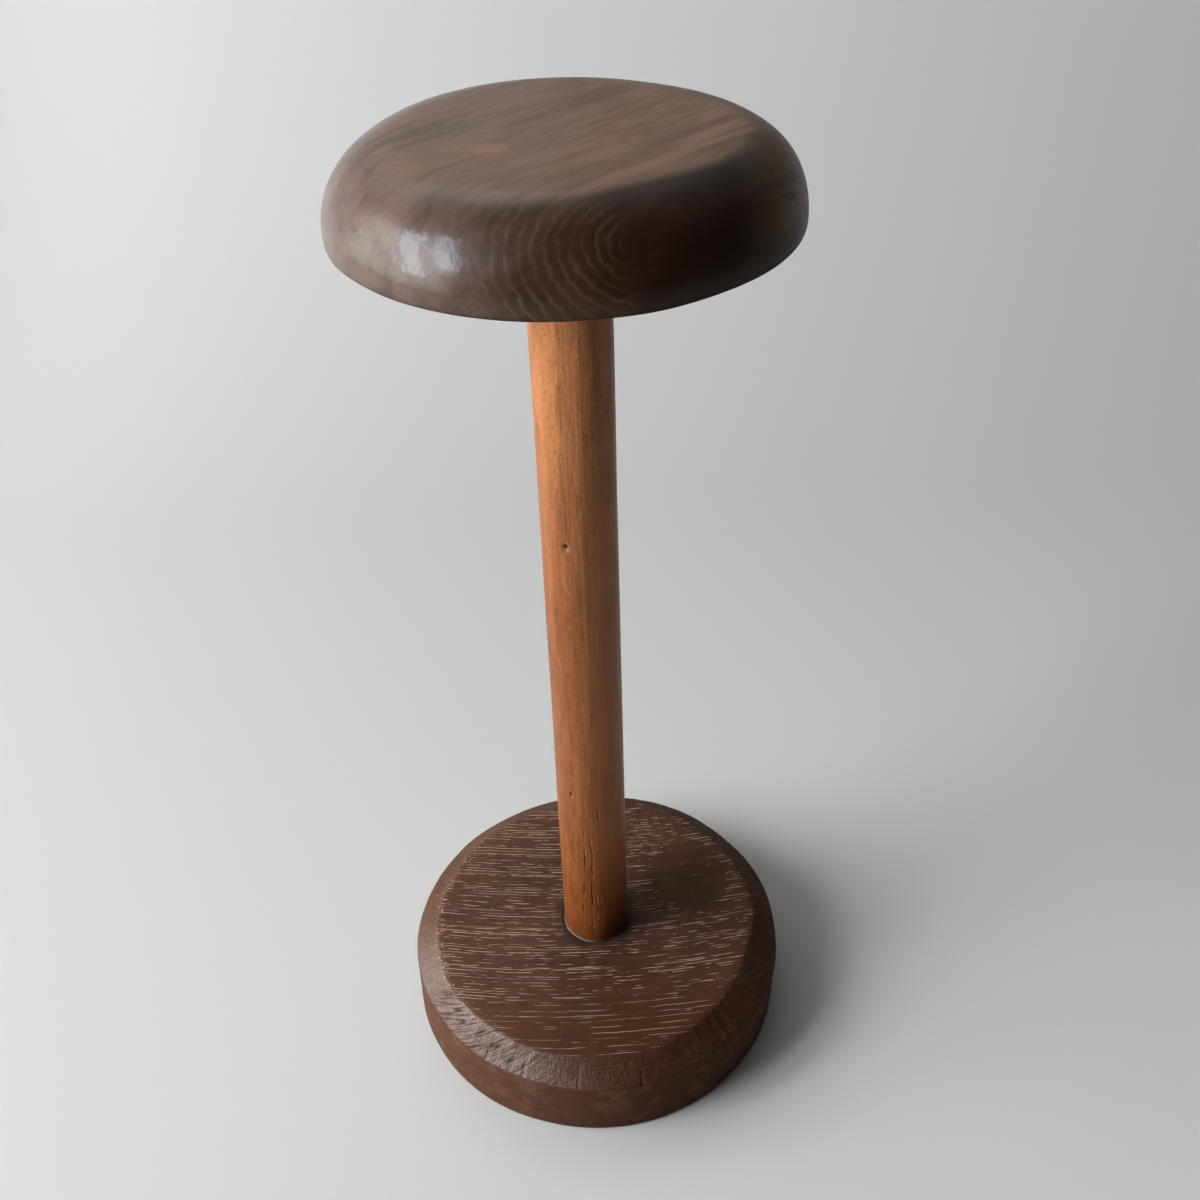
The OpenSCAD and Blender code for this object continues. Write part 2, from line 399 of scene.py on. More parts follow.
def makePost(look, material):
    low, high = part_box("post")
    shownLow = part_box("base")[1].z
    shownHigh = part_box("head")[0].z
    footRadius = (high.x - low.x) / 2
    oneTurn, _, at = startStations(look["steps"])
    lead = look["lead"]
    turn, height = np.meshgrid(oneTurn, ringHeights(look, low.z + lead, high.z - lead))
    degrees = turn * 360
    along = (height - low.z) / (high.z - low.z)
    nowhere = np.zeros_like(turn)
    shown = rampUp(height, shownLow - 1 * mm, shownLow + 1 * mm)
    shown = shown * (1 - rampUp(height, shownHigh - 1 * mm, shownHigh))
    radius = np.interp(height, [shownLow, shownHigh], [footRadius, look["topRadius"]])

    def upThe(cells, seed):  # noise that changes only with height
        return patchNoise(nowhere, along, (1, cells), seed)

    def sideways(where):  # mm round the post from a bearing
        return apart(degrees, where) * math.pi / 180 * radius / mm

    # flats between ridges that drift up the post
    offset = np.zeros_like(turn)
    ridges = [ridge + look["ridgeDrift"] * upThe(6, 200 + k) for k, ridge in enumerate(look["ridges"])]
    for k, start in enumerate(ridges):
        span = (ridges[(k + 1) % len(ridges)] - start) % 360
        inside = (degrees - start) % 360
        depth = np.cos(np.radians(span / 2)) / np.cos(np.radians(inside - span / 2)) - 1
        offset = np.where(inside < span, depth, offset)
    offset = offset - offset.mean()
    for _ in range(look["ridgeWear"]):
        offset = 0.25 * np.roll(offset, 1, 1) + 0.5 * offset + 0.25 * np.roll(offset, -1, 1)
    footCut, topCut = look["flatCut"]
    cut = footCut + (topCut - footCut) * rampUp(along, 0.35, 0.8)
    offset *= cut * radius * (0.9 + 0.4 * patchNoise(turn, along, (7, 6), 23))
    offset += look["wave"] * patchNoise(turn, along, (5, 7), 24)
    fluted = patchNoise(turn, along, (120, 9), 25) + patchNoise(turn, along, (80, 16), 26)
    offset += look["grooves"] * fluted

    crackMark = np.zeros_like(turn)
    chipMark = np.zeros_like(turn)
    brimHigh, brimAway, brimWide = look["dentBrim"]
    for where, z, wide, tall, deep in look["dents"]:
        across = sideways(where) / wide
        up = (height - z * mm) / (tall * mm)
        far = np.hypot(across, up)
        brim = brimHigh * np.exp(-((far - brimAway) / brimWide) ** 2)
        offset -= deep * mm * (np.exp(-far ** 2) - brim)
        crackMark = np.maximum(crackMark, 0.8 * np.exp(-np.hypot(across + 0.25, up - 0.3) ** 2 * 1.3))
        chipMark = np.maximum(chipMark, np.exp(-np.hypot(across - 0.5, up + 0.8) ** 2 * 3))

    for where, z, otherWhere, otherZ in look["scuffs"]:  # light scratches on the slant
        gap = sideways(np.interp(height, [otherZ * mm, z * mm], [otherWhere, where]))
        ends = rampUp(height, otherZ * mm - 1 * mm, otherZ * mm + 1 * mm)
        ends = ends * (1 - rampUp(height, z * mm - 1 * mm, z * mm + 1 * mm))
        broken = np.clip(0.6 + 0.8 * upThe(160, 141), 0, 1)
        chipMark = np.maximum(chipMark, 0.4 * np.exp(-(gap / look["scuffWide"]) ** 2) * ends * broken)

    slow, quick = look["crackWander"]
    footTaper, tipTaper = look["crackTaper"]
    for k, (width, deep, path) in enumerate(look["cracks"]):
        bearings, levels = np.array(path).T
        middle = np.interp(height, levels * mm, bearings)
        middle = middle + slow * upThe(110, 31 + k)
        middle = middle + quick * upThe(210, 51 + k)
        gap = sideways(middle)
        foot, tip = levels[0] * mm, levels[-1] * mm
        opened = rampUp(height, foot - 1 * mm, foot + footTaper) * (1 - rampUp(height, tip - tipTaper, tip))
        opened = opened * np.clip(0.5 + 1.1 * upThe(62, 71 + k), 0, 1)
        groove = np.exp(-(gap / width) ** 2) * opened
        offset -= deep * mm * groove
        crackMark = np.maximum(crackMark, groove)
        lift = np.clip(1.8 * upThe(80, 91 + k) - 0.2, 0, 1)
        lip = np.exp(-((gap - 2.0 * width) / look["lipWide"]) ** 2) * opened * lift
        offset += look["lipLift"] * lip
        chipMark = np.maximum(chipMark, lip)

    bore = look["boreRadius"]
    start = [at(bore, look["boreTop"]), at(bore, low.z), at(footRadius - lead, low.z)]
    finish = [at(look["topRadius"] - lead, high.z)]
    side = np.stack([radius + offset * shown, height], 1)
    rings = spun(np.concatenate([start, side, finish]), oneTurn)
    padding = ((len(start), len(finish)), (0, 0))
    marks = dict(crackPart=np.pad(crackMark, padding), chipPart=np.pad(chipMark, padding))
    piece = skin("shavedPost", rings, startPole=(0, 0, look["boreTop"]), endPole=(0, 0, high.z), marks=marks)
    settle(piece, "post", material)


# Head: a thick disc, its shoulder rounded by hand down to a flat crown
headLook = dict(
    steps=512,
    shoulder=22.0 * mm,
    shoulderRings=44,
    crownRings=31,
    softRings=5,  # on either side of the crown's edge
    softRounds=5,
    ease=1.5 * mm,
    socketRadius=12.45 * mm,
    socketDeep=14.2 * mm,
    socketMargin=2.0 * mm,
    crownBumps=[(-97, 13, 2.2), (-62, 15, -1.0), (-12, 24, 5.0), (60, 25, -0.8), (110, 20, 1.0),
                (165, 25, -1.5)],
    crownUneven=0.3 * mm,
    rimBumps=[(-150, 20, 0.5), (-60, 18, -0.4), (20, 25, 0.5), (100, 20, -0.5)],
    rimUneven=0.15 * mm,
    underUneven=0.25 * mm,
    # where the crown ends in a clear edge, in radians left off the round
    crispBumps=[(-62, 34, 0.34), (60, 40, 0.12)],
    wave=0.15 * mm,
    ripple=0.02 * mm,
    crownWave=0.10 * mm,
    fadeWide=0.36,  # how far down the shoulder the crown's fading reaches, except where its edge is clear
    fadeBumps=[(-62, 40, -0.27)],
)


def makeHead(look, material):
    low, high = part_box("head")
    radius = max(high.x - low.x, high.y - low.y) / 2
    turn, zero, at = startStations(look["steps"])
    degrees = turn * 360
    rim = radius + bumpsRound(degrees, look["rimBumps"]) * mm
    rim += look["rimUneven"] * patchNoise(turn, zero, (26, 1), 41)
    crown = radius - look["shoulder"] + bumpsRound(degrees, look["crownBumps"]) * mm
    crown += look["crownUneven"] * patchNoise(turn, zero, (14, 1), 42)
    bandTop = high.z - look["shoulder"]
    reach = math.pi / 2 - bumpsRound(degrees, look["crispBumps"])
    under = low.z + look["underUneven"] * patchNoise(turn, zero, (20, 1), 43)
    underEdge = at(rim - look["ease"], under)
    band = at(rim, under + look["ease"])

    socketMouth = at(look["socketRadius"], low.z)
    socketEdge = at(look["socketRadius"] + look["socketMargin"], low.z)
    below = lineTo(at(look["socketRadius"], low.z + look["socketDeep"]), socketMouth, 4)
    below += lineTo(socketMouth, socketEdge, 2) + lineTo(socketEdge, underEdge, 18)
    below += cornerTo(underEdge, at(rim, under), band, 6)
    below += lineTo(band, at(rim, bandTop), 2)
    shoulder = []
    for t in np.linspace(0, 1, look["shoulderRings"] + 1):
        phi = reach * t
        r = crown + (rim - crown) * (np.cos(phi) - np.cos(reach)) / (1 - np.cos(reach))
        z = bandTop + look["shoulder"] * np.sin(phi) / np.sin(reach)
        swell = look["wave"] * patchNoise(turn + 0.02 * t, zero + t, (15, 3), 44)
        swell += look["ripple"] * patchNoise(turn, zero + t, (52, 6), 45)
        swell = swell * (1 - rampUp(t, 0.75, 1.0)) * rampUp(t, -0.4, 0.3)
        shoulder.append(at(r + swell * np.cos(phi), z + swell * np.sin(phi)))
    flat = []
    for k in range(1, look["crownRings"]):
        t = k / look["crownRings"]
        dish = look["crownWave"] * patchNoise(turn, zero + t, (7, 3), 46)
        dish = dish * rampUp(t, 0, 0.3) * (1 - rampUp(t, 0.6, 1))
        flat.append(at(crown * (1 - t), high.z + dish))
    profile = np.array(below + shoulder + flat)
    first = len(below) + look["shoulderRings"] - look["softRings"]
    last = first + 2 * look["softRings"]
    for _ in range(look["softRounds"]):
        beside = profile[first - 1:last - 1] + profile[first + 1:last + 1]
        profile[first:last] = 0.5 * profile[first:last] + 0.25 * beside
    rings = spun(profile, turn)
    fadeWide = look["fadeWide"] + bumpsRound(degrees, look["fadeBumps"])
    t = np.linspace(0, 1, len(shoulder))[:, None]
    crownPart = np.zeros(rings.shape[:2])
    crownPart[len(below):] = 1
    crownPart[len(below):len(below + shoulder)] = rampUp(t, 1 - fadeWide, 1)
    piece = skin("mushroomHead", rings, startPole=(0, 0, low.z + look["socketDeep"]), endPole=(0, 0, high.z),
                 marks=dict(crownPart=crownPart), poleMark=1.0)
    settle(piece, "head", material)


# Glue: a film in the base's socket and an uneven bead round the post's foot
glueLook = dict(
    steps=300,
    postRadius=13.0 * mm,
    postSlack=0.15 * mm,  # the shaved post is a little under size in places
    socketRadius=13.2 * mm,
    filmFloor=12.8 * mm,
    holeRadius=2.6 * mm,
    lead=1.5 * mm,
    beadWide=0.42 * mm,
    beadHigh=0.34 * mm,
    skinGap=0.02 * mm,
    beadBumps=[(-135, 22, 0.5), (-105, 18, 0.35), (40, 25, 0.3), (150, 20, 0.25)],
    beadLeast=0.75,
    beadUneven=0.3,
)


def makeGlue(look, material):
    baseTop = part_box("base")[1].z
    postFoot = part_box("post")[0].z
    turn, zero, at = startStations(look["steps"])
    plump = look["beadLeast"] + bumpsRound(turn * 360, look["beadBumps"])
    plump += look["beadUneven"] * patchNoise(turn, zero, (40, 1), 61)
    wide = look["beadWide"] * plump
    tall = look["beadHigh"] * plump
    post, lead, gap, hole = (look[k] for k in ("postRadius", "lead", "skinGap", "holeRadius"))
    inner = post - look["postSlack"]
    outer = look["socketRadius"] - gap
    floor = look["filmFloor"] + gap
    filmStart, filmCorner, mouth = at(hole, floor), at(outer, floor), at(outer, baseTop + gap)
    toe = at(post + wide, baseTop + gap)
    crest = at(inner, baseTop + tall)
    hollow = at(post + 0.25 * wide, baseTop + 0.3 * tall)
    neck, heel = at(post + gap, baseTop - 2 * mm), at(post + gap, postFoot + lead)
    sole, filmEnd = at(post - lead, postFoot - gap), at(hole, postFoot - gap)
    profile = lineTo(filmStart, filmCorner, 3) + lineTo(filmCorner, mouth, 4) + lineTo(mouth, toe, 3)
    profile += cornerTo(toe, hollow, crest, 8) + lineTo(crest, at(inner, baseTop - 1 * mm), 3)
    profile += lineTo(neck, heel, 4) + lineTo(heel, sole, 3) + lineTo(sole, filmEnd, 3) + [filmEnd]
    piece = skin("footGlueBead", spun(np.array(profile), turn), closed=True)
    settle(piece, "foot_glue", material)


# Finishes: nodes go into the tree that was started last, and their outputs are reckoned with like numbers
bench = {}
nodeGrid = (190, -220, 14)  # steps across and down, and columns, in the node editor


class NodeValue:
    def __init__(self, socket):
        self.socket = socket

    def __add__(self, other):
        return calc("ADD", self, other)

    def __sub__(self, other):
        return calc("SUBTRACT", self, other)

    def __rsub__(self, other):
        return calc("SUBTRACT", other, self)

    def __mul__(self, other):
        return calc("MULTIPLY", self, other)

    def __truediv__(self, other):
        return calc("DIVIDE", self, other)


def colour(*levels):  # from 0 to 255 as on a screen, to Blender's linear values
    shares = [level / 255 for level in levels]
    return tuple(v / 12.92 if v <= 0.04045 else ((v + 0.055) / 1.055) ** 2.4 for v in shares) + (1.0,)


def feed(target, source):  # an output is linked, a plain value is set
    if isinstance(source, NodeValue):
        bench["tree"].links.new(source.socket, target)
    else:
        target.default_value = source


def feedAll(node, inputs):
    for name, source in inputs.items():
        feed(node.inputs[name], source)


def addNode(kind, inputs=None, **settings):
    nodes = bench["tree"].nodes
    node = nodes.new(kind)
    across, down, columns = nodeGrid
    node.location = (across * (len(nodes) % columns), down * (len(nodes) // columns))
    for name, value in settings.items():
        setattr(node, name, value)
    feedAll(node, inputs or {})
    return node


def outOf(node, name=0):
    return NodeValue(node.outputs[name])


def calc(operation, *values, clamp=False):
    return outOf(addNode("ShaderNodeMath", dict(enumerate(values)), operation=operation, use_clamp=clamp))


def vectorCalc(operation, *values, output=0):
    return outOf(addNode("ShaderNodeVectorMath", dict(enumerate(values)), operation=operation), output)


def scaled(vector, factor):
    return outOf(addNode("ShaderNodeVectorMath", {0: vector, "Scale": factor}, operation="SCALE"))


def squareRoot(value):
    return calc("SQRT", value)


def ramp(value, low, high, start=0.0, end=1.0):  # smooth step between low and high
    node = addNode("ShaderNodeMapRange", interpolation_type="SMOOTHSTEP")
    feedAll(node, {"Value": value, "From Min": low, "From Max": high, "To Min": start, "To Max": end})
    return outOf(node)


def mix(factor, first, second):
    return outOf(addNode("ShaderNodeMix", {0: factor, 6: first, 7: second}, data_type="RGBA"), 2)


def layered(wood, look, *coats):  # each coat: how much of it shows, and its name among the colours
    for share, tint in coats:
        wood = mix(share, wood, look[tint])
    return wood


def noiseAt(vector, scale, detail=2.0, rough=0.5, output=0):
    inputs = {"Vector": vector, "Scale": scale, "Detail": detail, "Roughness": rough}
    return outOf(addNode("ShaderNodeTexNoise", inputs), output)


def splitXyz(vector):
    node = addNode("ShaderNodeSeparateXYZ", {"Vector": vector})
    return [outOf(node, axis) for axis in "XYZ"]


def joinXyz(x, y, z):
    return outOf(addNode("ShaderNodeCombineXYZ", {"X": x, "Y": y, "Z": z}))


def startGroup(name, inputs, outputs):  # an input without a number is a place
    group = bpy.data.node_groups.new(name, "ShaderNodeTree")
    for socket, value in inputs.items():
        kind = "NodeSocketVector" if value is None else "NodeSocketFloat"
        made = group.interface.new_socket(socket, in_out="INPUT", socket_type=kind)
        if value is not None:
            made.default_value = value
    for socket in outputs:
        group.interface.new_socket(socket, in_out="OUTPUT", socket_type="NodeSocketFloat")
    bench["tree"] = group
    start = addNode("NodeGroupInput")
    return group, {socket: outOf(start, socket) for socket in inputs}, addNode("NodeGroupOutput")


def place(group, **inputs):
    node = addNode("ShaderNodeGroup", node_tree=group)
    feedAll(node, inputs)
    return {socket.name: NodeValue(socket) for socket in node.outputs}


def makePoreGroup():  # open pores: short flattened tubes along X, in millimetres, cut by the surface
    group, given, result = startGroup(
        "openPores",
        dict(Vector=None, Length=12.0, Spacing=0.9, Width=0.2, Share=0.8, Wander=1.0, Flatness=0.45),
        ["Mask"],
    )
    drift = vectorCalc("SUBTRACT", noiseAt(given["Vector"], 0.06, 3.0, 0.6, output=1), (0.5, 0.5, 0.5))
    x, y, z = splitXyz(vectorCalc("ADD", given["Vector"], scaled(drift, given["Wander"])))
    cells = joinXyz(x / given["Length"], y / given["Spacing"], z / given["Spacing"])
    pores = addNode("ShaderNodeTexVoronoi", {"Vector": cells, "Scale": 1.0})
    dx, dy, dz = splitXyz(vectorCalc("SUBTRACT", cells, outOf(pores, "Position")))
    long, wide, chance = splitXyz(outOf(pores, "Color"))
    dz = dz * given["Flatness"]
    across = squareRoot(dy * dy + dz * dz) * given["Spacing"]
    along = calc("ABSOLUTE", dx) / (long * 0.42 + 0.12)
    taper = calc("SUBTRACT", 1.0, along * along, clamp=True)
    width = given["Width"] * (wide * 0.8 + 0.6) * squareRoot(taper)
    body = ramp(across, width, width * 0.4)
    feedAll(result, {"Mask": body * calc("LESS_THAN", chance, given["Share"])})
    return group


def makeRowGroup():  # long pores: rows along X, each broken into dashes of its own
    group, given, result = startGroup(
        "poreRows",
        dict(Vector=None, Length=12.0, Spacing=1.5, Width=0.15, Share=0.5, Wander=1.0),
        ["Mask", "Groove", "Shade"],
    )
    drift = noiseAt(given["Vector"], 0.05, 4.0, 0.62) - 0.5
    x, y, _ = splitXyz(given["Vector"])
    y = (drift * given["Wander"] + y) / given["Spacing"]
    row = calc("FLOOR", y)
    chance = addNode("ShaderNodeTexWhiteNoise", {"W": row}, noise_dimensions="1D")
    shift = outOf(chance, "Value") * 0.6 + 0.2
    across = calc("ABSOLUTE", y - row - shift) * given["Spacing"]
    strength = noiseAt(joinXyz(x / given["Length"], row * 7.37, 0.0), 1.0, 1.0, 0.5)
    limit = given["Share"] * -0.5 + 0.75
    strength = ramp(strength, limit, limit + 0.14)
    width = given["Width"] * squareRoot(strength)
    body = ramp(across, width, width * 0.4)
    brim = ramp(across, width * 2.4, width * 0.9)
    shade = splitXyz(outOf(chance, "Color"))[1]
    feedAll(result, {"Mask": body * squareRoot(strength), "Groove": brim * strength, "Shade": shade})
    return group


def makeStreakGroup():  # fibres: noise drawn out along X
    group, given, result = startGroup(
        "fibreStreaks", dict(Vector=None, Length=40.0, Width=1.5), ["Broad", "Fine"])
    x, y, z = splitXyz(given["Vector"])

    def drawnOut(length, width, detail):
        return noiseAt(joinXyz(x / length, y / width, z / width), 1.0, detail, 0.6)

    broad = drawnOut(given["Length"], given["Width"], 3.0)
    fine = drawnOut(given["Length"] * 0.35, given["Width"] * 0.22, 2.0)
    feedAll(result, {"Broad": broad, "Fine": fine})
    return group


def makeRingGroup():  # year rings: layers of a depth in mm, bent and unevenly spaced
    group, given, result = startGroup(
        "yearRings", dict(Vector=None, Depth=0.0, Spacing=2.4, Bend=5.0, Wobble=0.3), ["Line", "Growth"])
    bend = noiseAt(given["Vector"], 0.035, 2.0) - 0.5
    wobble = noiseAt(given["Vector"], 0.30, 3.0) - 0.5
    depth = bend * given["Bend"] + given["Depth"]
    depth = wobble * (given["Spacing"] * given["Wobble"]) + depth
    growth = calc("FRACT", depth / given["Spacing"])
    feedAll(result, {"Line": ramp(growth, 0.42, 0.76) * ramp(growth, 1.0, 0.80), "Growth": growth})
    return group


def makeHandlingGroup():  # years of hands, wax and dust
    group, given, result = startGroup(
        "handling", dict(Vector=None, Patch=30.0), ["Blotch", "Smear", "Mottle"])
    cells = scaled(given["Vector"], calc("DIVIDE", 1.0, given["Patch"]))
    feedAll(result, {
        "Blotch": noiseAt(cells, 1.0, 3.0, 0.55),
        "Smear": noiseAt(cells, 4.3, 3.0, 0.6),
        "Mottle": noiseAt(given["Vector"], 0.9, 3.0, 0.65),
    })
    return group


openPores = makePoreGroup()
poreRows = makeRowGroup()
fibreStreaks = makeStreakGroup()
yearRings = makeRingGroup()
handling = makeHandlingGroup()
print("shared finish groups made")


def startMaterial(name):
    material = bpy.data.materials.new(name)
    material.use_nodes = True
    bench["tree"] = material.node_tree
    bench["tree"].nodes.clear()
    shader = addNode("ShaderNodeBsdfPrincipled")
    addNode("ShaderNodeOutputMaterial", {"Surface": outOf(shader, "BSDF")})
    return material, shader


def inMillimetres(turn=0.0):  # place on the piece in mm, X turned along the grain
    spot = outOf(addNode("ShaderNodeTexCoord"), "Object")
    inputs = {"Vector": spot, "Scale": (1000, 1000, 1000), "Rotation": (0, 0, math.radians(turn))}
    return outOf(addNode("ShaderNodeMapping", inputs, vector_type="POINT"))


def painted(name):
    return outOf(addNode("ShaderNodeAttribute", attribute_name=name), "Fac")


def relief(height, depth, normal=None):  # depth in metres
    inputs = {"Strength": 1.0, "Distance": depth, "Height": height}
    if normal is not None:
        inputs["Normal"] = normal
    return outOf(addNode("ShaderNodeBump", inputs))


# Dark oak of the base: pale dust in the pores, a dark smudge round the foot
oakLook = dict(
    dark=colour(60, 36, 24),
    mid=colour(87, 54, 37),
    warm=colour(74, 40, 18),
    dust=colour(222, 191, 162),
    soot=colour(54, 43, 34),
    bevelTint=colour(73, 44, 30),
    # dark of the rasp cuts and the bevel's mottling, also painted shade beside the pores and in the post's
    # shadow
    darkCutsAndShade=colour(38, 22, 15),
    wallTint=colour(86, 52, 37),
    paleWearAndLitTint=colour(128, 93, 73),  # pale marks on the wall and bevel, and painted light on the window's side
    bevelMiddle=70.0,  # mm from the axis
    scratchSize=(0.55, 3.2),  # mm across and along the rasp's marks
    bow=0.0013,  # the grain lines curve like a shallow bowl, per mm
    smudgeReach=(19.0, 14.0),  # from the post's axis, where the smudge begins and where it is full
    postShadeSpot=(40, 19, 17),  # x, y and radius of painted shade where the post's shadow falls: dark dashes, no pale pores
    speckSpot=(24, 44, 14),  # and of the one where the grain runs out through the face
    dashes=dict(  # length, spacing, width and wander of the pores, in mm
        rows=(9.0, 1.4, 0.155, 1.8),
        short=(5.0, 1.4, 0.135, 1.8),
        long=(18.0, 2.8, 0.155, 1.8),
        specks=(3.6, 1.3, 0.13, 0.8),
        # dark dashes of painted shade in the post's shadow
        shadeDashes=(8.0, 1.1, 0.17, 1.8),
    ),
    handSide=(-0.75, -0.66),  # the way that the handled, waxed part of the bevel faces
)


def makeOak(look):
    material, shader = startMaterial("darkOakStain")
    spot = inMillimetres()
    x, y, z = splitXyz(spot)
    bowed = y - x * x * look["bow"]
    grain = joinXyz(x, z * 0.9 + bowed, z)
    bevel, wall, brow, cut = (painted(name) for name in ("bevelPart", "wallPart", "browPart", "cutPart"))
    flat = 1.0 - calc("ADD", bevel, wall, clamp=True)
    hand = place(handling, Vector=spot, Patch=34.0)
    fibres = place(fibreStreaks, Vector=grain, Length=46.0, Width=2.2)
    rings = place(yearRings, Vector=grain, Depth=bowed * 0.85 + z * 0.52, Spacing=9.0, Bend=10.0)
    patchy = hand["Smear"] - 0.5

    # rasp scratches run out from the axis, so they are drawn in bearing and distance
    away = squareRoot(x * x + y * y)
    sideways = calc("ARCTAN2", y, x) * look["bevelMiddle"]
    across, along = look["scratchSize"]
    scratch = noiseAt(joinXyz(sideways / across, away / along, z / along), 1.0, 3.0, 0.6)

    # stain: streaked, warmer in front where hands turned it
    tone = hand["Blotch"] * 0.6 + fibres["Broad"] * 0.5
    front = ramp(y, -22.0, -58.0) * ramp(hand["Blotch"], 0.3, 0.6, 0.5, 1.0)
    # painted light: the window's side of the base is lighter
    paintedLightLeft = ramp(x, 18.0, -50.0) * ramp(hand["Smear"], 0.25, 0.6, 0.6, 1.0)
    hairs = bevel * ramp(scratch, 0.57, 0.70) * ramp(y, 5.0, -45.0, 0.35, 1.0)
    wood = layered(
        mix(ramp(tone, 0.35, 0.75), look["dark"], look["mid"]), look,
        (front * 0.9, "warm"),
        (ramp(fibres["Fine"], 0.56, 0.74) * 0.35, "dark"),
        (wall * 0.5, "wallTint"),
        (wall * ramp(fibres["Broad"], 0.46, 0.62) * 0.35, "dark"),
        (wall * ramp(hand["Smear"], 0.50, 0.68) * 0.32, "paleWearAndLitTint"),
        (bevel * 0.5, "bevelTint"),
        # painted light on the window's side
        (paintedLightLeft * (bevel * 0.22 + 0.24), "paleWearAndLitTint"),
        (ramp(hand["Mottle"], 0.46, 0.66) * 0.30, "dark"),
        (hairs * 0.45, "paleWearAndLitTint"),
        (bevel * ramp(hand["Mottle"], 0.50, 0.68) * 0.30, "darkCutsAndShade"),
        (cut * 0.85, "darkCutsAndShade"),
    )

    # pores: rows of dashes, long and few in front, short at the right, specks where the grain runs out
    def zone(middleX, middleY, radius):
        gap = vectorCalc("DISTANCE", joinXyz(x, y, 0.0), (middleX, middleY, 0), output=1)
        return ramp(patchy * 14.0 + gap, radius * 1.15, radius * 0.8)

    def poresAt(kind, where, share):
        length, spacing, width, wander = look["dashes"][kind]
        return place(poreRows, Vector=where, Length=length, Spacing=spacing, Width=width, Share=share,
                     Wander=wander)

    # painted shade where the post's shadow falls: pale pores left out, dark dashes drawn
    postShadePatch = zone(*look["postShadeSpot"])
    speckled = zone(*look["speckSpot"])
    inFront = ramp(hand["Smear"] * 18.0 + y, -23.0, -37.0)
    clear = 1.0 - calc("MULTIPLY_ADD", postShadePatch, 0.62, speckled, clamp=True)
    early = clear * ramp(rings["Growth"], 1.0, 0.45, 0.45, 1.0)
    shares = dict(
        rows=early * (inFront * -0.34 + ramp(x, 12.0, -12.0, 0.60, 0.74)),
        short=early * (inFront * -0.22 + 0.36),
        long=clear * inFront * 0.70,
        specks=speckled * 0.6,
    )
    faint = ramp(inFront, 0.0, 1.0, 1.0, 0.72)
    pores = 0.0
    grooves = 0.0
    for k, (kind, share) in enumerate(shares.items()):
        layer = poresAt(kind, vectorCalc("ADD", grain, (17.3 * k, 3.1 * k, 5.7 * k)), share)
        there = calc("GREATER_THAN", share, 0.02)
        strength = calc("MULTIPLY_ADD", layer["Shade"], 0.5, 0.56, clamp=True)
        pores = calc("MAXIMUM", layer["Mask"] * there * faint * strength, pores)
        grooves = calc("MAXIMUM", layer["Groove"] * there, grooves)
    smudge = ramp(patchy * 10.0 + away, *look["smudgeReach"]) * flat
    dusty = ramp(hand["Smear"], 0.26, 0.46, 0.35, 1.0) * (1.0 - smudge * 0.85) * (flat * 0.84 + 0.16)
    crumbs = brow * ramp(hand["Mottle"], 0.58, 0.68) * ramp(x, -20.0, -60.0)
    wood = layered(
        wood, look,
        (smudge * 0.7, "soot"),
        # painted shade in the grooves beside the pores
        (grooves * (flat * 0.45 + 0.3), "darkCutsAndShade"),
        # painted shade in the post's shadow
        (poresAt("shadeDashes", grain, 0.7)["Mask"] * postShadePatch * flat * 0.6, "darkCutsAndShade"),
        (pores * dusty * 0.95, "dust"),
        (crumbs * 0.7, "dust"),
    )

    # wax on the part of the bevel that is handled, none in the cuts
    facing = x * look["handSide"][0] + y * look["handSide"][1]
    handled = ramp(facing, 44.0, 66.0, 0.03, 1.0)
    gloss = hand["Smear"] * 0.20 + bevel * (1.0 - handled) * 0.30 + pores * 0.2 + wall * 0.34 + 0.44
    waxed = bevel * handled * ramp(hand["Smear"], 0.30, 0.55, 0.55, 1.0) * ramp(cut, 0.0, 0.6, 1.0, 0.15)
    rough = relief(scratch * bevel, 0.00030)
    lumps = noiseAt(spot, 0.9, 3.0, 0.65)  # drawn here, since no group feeds the coat's normal
    dimples = relief(lumps * (bevel * 0.9 + 0.1), 0.00020, rough)
    fibre = relief(fibres["Fine"], 0.00012, dimples)
    feedAll(shader, {
        "Base Color": wood,
        "Roughness": gloss,
        "Specular IOR Level": 0.14,
        "Coat Weight": waxed,
        "Coat Roughness": 0.24,
        "Normal": relief(1.0 - grooves, 0.00014, fibre),
        "Coat Normal": dimples,
    })
    return material


# Post: a close-grained wood under an orange-brown stain, paler towards the head
postFinish = dict(
    top=colour(180, 117, 70),
    mid=colour(137, 80, 41),
    foot=colour(128, 70, 30),
    deep=colour(80, 41, 17),
    crack=colour(30, 15, 8),
    chip=colour(196, 148, 104),
    footFade=(40.0, 130.0),  # heights between which the stain changes
    topFade=(200.0, 300.0),
)


